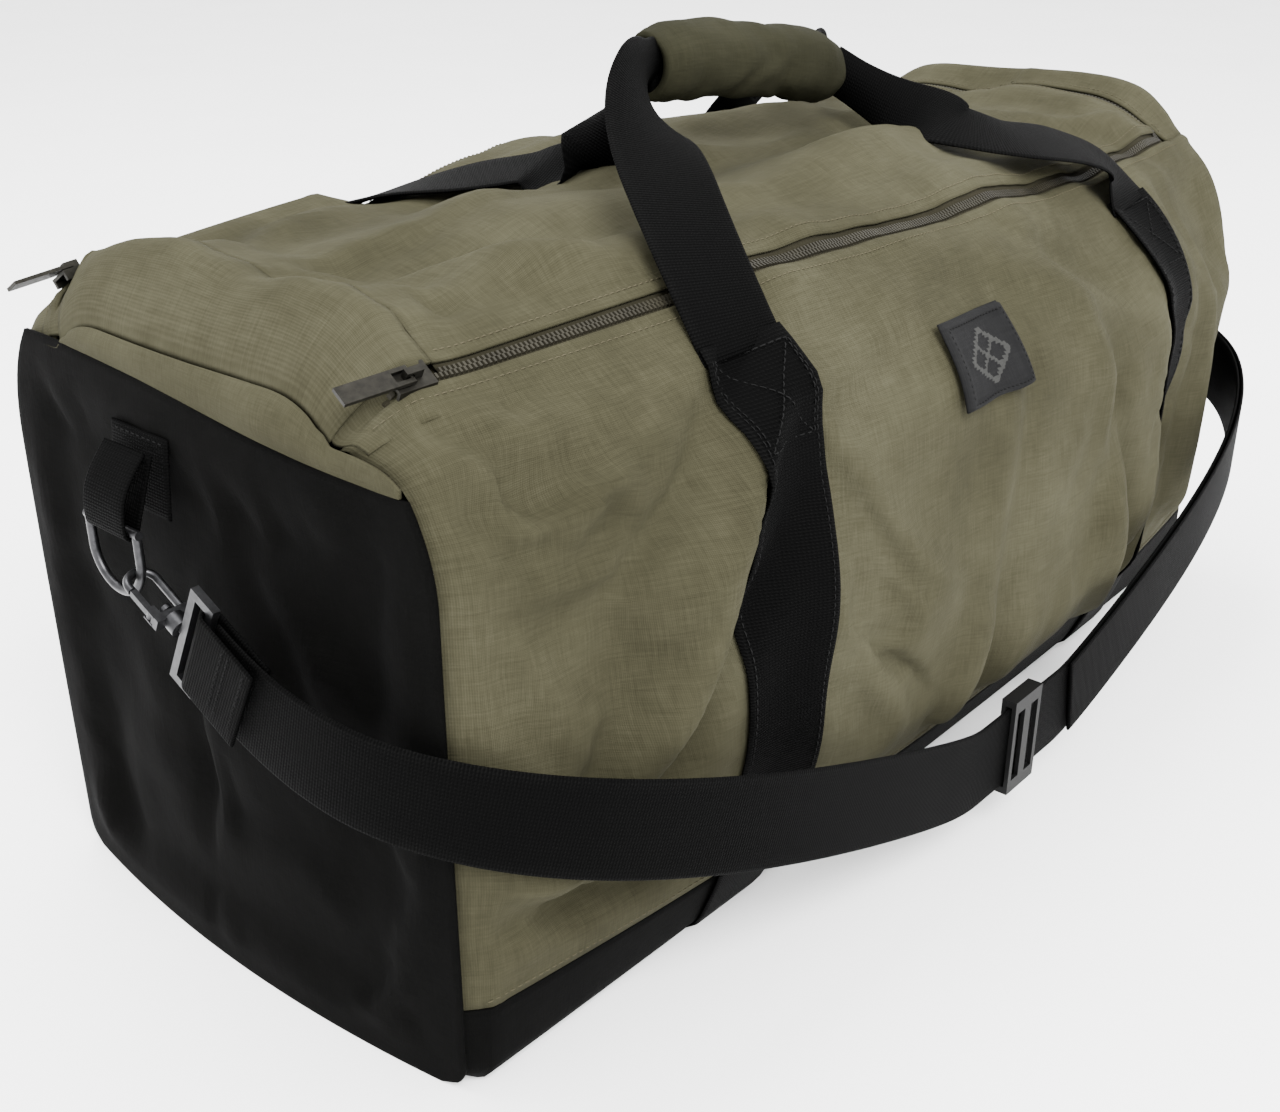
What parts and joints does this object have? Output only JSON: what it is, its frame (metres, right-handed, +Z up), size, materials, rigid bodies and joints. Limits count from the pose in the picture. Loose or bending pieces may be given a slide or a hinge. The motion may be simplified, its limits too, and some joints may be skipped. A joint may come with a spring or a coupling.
{
  "type": "duffel bag",
  "caption": "Soft canvas duffel bag with black ends and base, zipped top lid, webbing handles joined by a padded wrap, and a clip-on shoulder strap.",
  "frame": {"origin": "centre of the base underside, on the surface the bag stands on", "axes": "+X along the length towards the end the lid opens at, +Y towards the back, +Z up"},
  "size_m": [0.8404, 0.4706, 0.4337],
  "materials": {
    "olive_canvas": "matte woven canvas",
    "black_canvas": "matte woven canvas",
    "black_webbing": "ribbed webbing",
    "black_thread": "stitched webbing",
    "patch_cloth": "woven patch",
    "board": "matte",
    "zip_tape": "knitted tape",
    "zip_teeth": "satin",
    "zip_metal": "dark plated",
    "steel": "dull plated",
    "black_plastic": "moulded"
  },
  "bodies": {
    "bag_body": {"base_panel": "black_canvas", "base_board": "board", "front_panel": "olive_canvas", "back_panel": "olive_canvas", "end_panel_left": "black_canvas", "end_panel_right": "black_canvas", "shoulder_left": "olive_canvas", "shoulder_right": "olive_canvas", "zip_tape_body": "zip_tape", "zip_teeth_body": "zip_teeth", "webbing_left": "black_webbing", "webbing_right": "black_webbing", "anchor_front_left": "black_thread", "anchor_front_right": "black_thread", "anchor_back_left": "black_thread", "anchor_back_right": "black_thread", "patch": "patch_cloth", "tab_base_left": "black_webbing", "tab_base_right": "black_webbing"},
    "lid": {"lid_panel": "olive_canvas", "zip_tape_lid": "zip_tape", "zip_teeth_lid": "zip_teeth"},
    "front_slider": {"slider_front": "zip_metal"},
    "back_slider": {"slider_back": "zip_metal"},
    "front_pull": {"pull_front": "zip_metal"},
    "back_pull": {"pull_back": "zip_metal"},
    "front_handle": {"grip_front": "black_webbing", "leg_front_left": "black_webbing", "leg_front_right": "black_webbing", "wrap_front": "olive_canvas"},
    "back_handle": {"grip_back": "black_webbing", "leg_back_left": "black_webbing", "leg_back_right": "black_webbing", "wrap_back": "olive_canvas"},
    "shoulder_strap": {"strap_webbing": "black_webbing", "strap_return": "black_webbing", "strap_fold_left": "black_webbing", "strap_fold_right": "black_webbing", "swivel_left": "steel", "swivel_right": "steel", "tab_loop_left": "black_webbing", "tab_loop_right": "black_webbing", "ring_left": "steel", "ring_right": "steel"},
    "left_hook": {"hook_left": "steel"},
    "right_hook": {"hook_right": "steel"},
    "left_gate": {"gate_left": "steel"},
    "right_gate": {"gate_right": "steel"},
    "strap_adjuster": {"adjuster": "black_plastic"}
  },
  "joints": [
    {"name": "front_handle_swing", "type": "hinge", "parent": "bag_body", "child": "front_handle", "pos_m": [0, -0.16425, 0.32106], "axis": [1, 0, 0], "range_deg": [0, 175], "deforming": ["leg_front_left", "leg_front_right"]},
    {"name": "back_handle_swing", "type": "hinge", "parent": "bag_body", "child": "back_handle", "pos_m": [0, 0.16425, 0.32106], "axis": [-1, 0, 0], "range_deg": [0, 175], "deforming": ["leg_back_left", "leg_back_right"]},
    {"name": "lid_open", "type": "hinge", "parent": "bag_body", "child": "lid", "pos_m": [-0.345, 0, 0.35], "axis": [0, -1, 0], "range_deg": [0, 45]},
    {"name": "strap_swing", "type": "hinge", "parent": "bag_body", "child": "shoulder_strap", "pos_m": [0, 0.029, 0.258], "axis": [1, 0, 0], "range_deg": [-126, 0]},
    {"name": "left_hook_swivel", "type": "hinge", "parent": "shoulder_strap", "child": "left_hook", "pos_m": [-0.411, 0.01012, 0.21813], "axis": [0, -0.8862, -0.4633], "range_deg": [-20, 20]},
    {"name": "right_hook_swivel", "type": "hinge", "parent": "shoulder_strap", "child": "right_hook", "pos_m": [0.411, 0.01012, 0.21813], "axis": [0, -0.8862, -0.4633], "range_deg": [-20, 20]},
    {"name": "left_gate_open", "type": "hinge", "parent": "left_hook", "child": "left_gate", "pos_m": [-0.418, -0.00494, 0.21026], "axis": [0, 0.4633, -0.8862], "range_deg": [0, 25], "stiffness_Nm_per_rad": 0.01, "springref_deg": -17.19},
    {"name": "right_gate_open", "type": "hinge", "parent": "right_hook", "child": "right_gate", "pos_m": [0.418, -0.00494, 0.21026], "axis": [0, -0.4633, 0.8862], "range_deg": [0, 25], "stiffness_Nm_per_rad": 0.01, "springref_deg": -17.19},
    {"name": "front_zip_slide", "type": "slide", "parent": "bag_body", "child": "front_slider", "axis": [0.9912, -0.1199, 0.0568], "range_m": [0, 0.11]},
    {"name": "back_zip_slide", "type": "slide", "parent": "bag_body", "child": "back_slider", "axis": [0.9912, 0.1199, 0.0568], "range_m": [0, 0.11]},
    {"name": "front_pull_flip", "type": "hinge", "parent": "front_slider", "child": "front_pull", "pos_m": [-0.36088, -0.12292, 0.33315], "axis": [0.0696, 0.8345, 0.5467], "range_deg": [0, 150]},
    {"name": "back_pull_flip", "type": "hinge", "parent": "back_slider", "child": "back_pull", "pos_m": [-0.36088, 0.12292, 0.33315], "axis": [-0.0696, 0.8345, -0.5467], "range_deg": [0, 150]},
    {"name": "adjuster_slide", "type": "slide", "parent": "shoulder_strap", "child": "strap_adjuster", "axis": [1, 0, 0], "range_m": [-0.025, 0.025]}
  ],
  "couplings": [
    {"joint": "back_handle_swing", "follows": "front_handle_swing", "ratio": 1},
    {"joint": "lid_open", "follows": "front_handle_swing", "ratio": 0.25}
  ]
}
